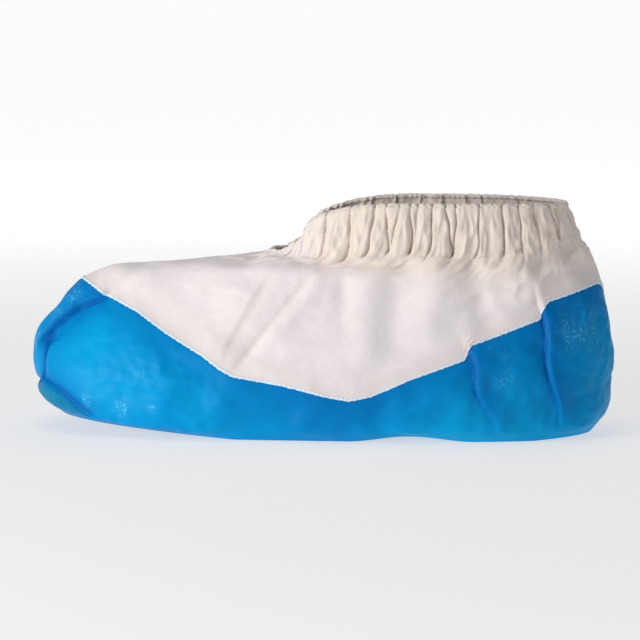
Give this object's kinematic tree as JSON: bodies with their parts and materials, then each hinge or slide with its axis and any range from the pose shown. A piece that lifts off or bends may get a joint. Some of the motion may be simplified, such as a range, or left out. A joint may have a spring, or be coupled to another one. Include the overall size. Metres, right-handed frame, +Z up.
{
  "type": "disposable shoe cover",
  "caption": "Disposable shoe cover in its worn shape: film bottom welded to a nonwoven upper, folded toe and heel, gathered elastic ankle opening.",
  "frame": {"origin": "on the floor plane under the waist of the foot, on the cover's centre plane", "axes": "+X to the toe, +Y to the wearer's left, +Z up"},
  "size_m": [0.3214, 0.12, 0.1297],
  "materials": {
    "film": "thin embossed polyethylene film, satin with small bright glints",
    "nonwoven": "matt spunbonded white nonwoven, softly creased",
    "hem": "gathered double layer of the white nonwoven, slightly creamy",
    "weld": "pale pressed weld line where film and nonwoven are joined",
    "elastic": "covered elastic edge, matt"
  },
  "bodies": {
    "root": {"film_sole": "film", "nonwoven_upper": "nonwoven", "gathered_hem": "hem", "weld_seam": "weld", "elastic_edge": "elastic"}
  },
  "joints": []
}
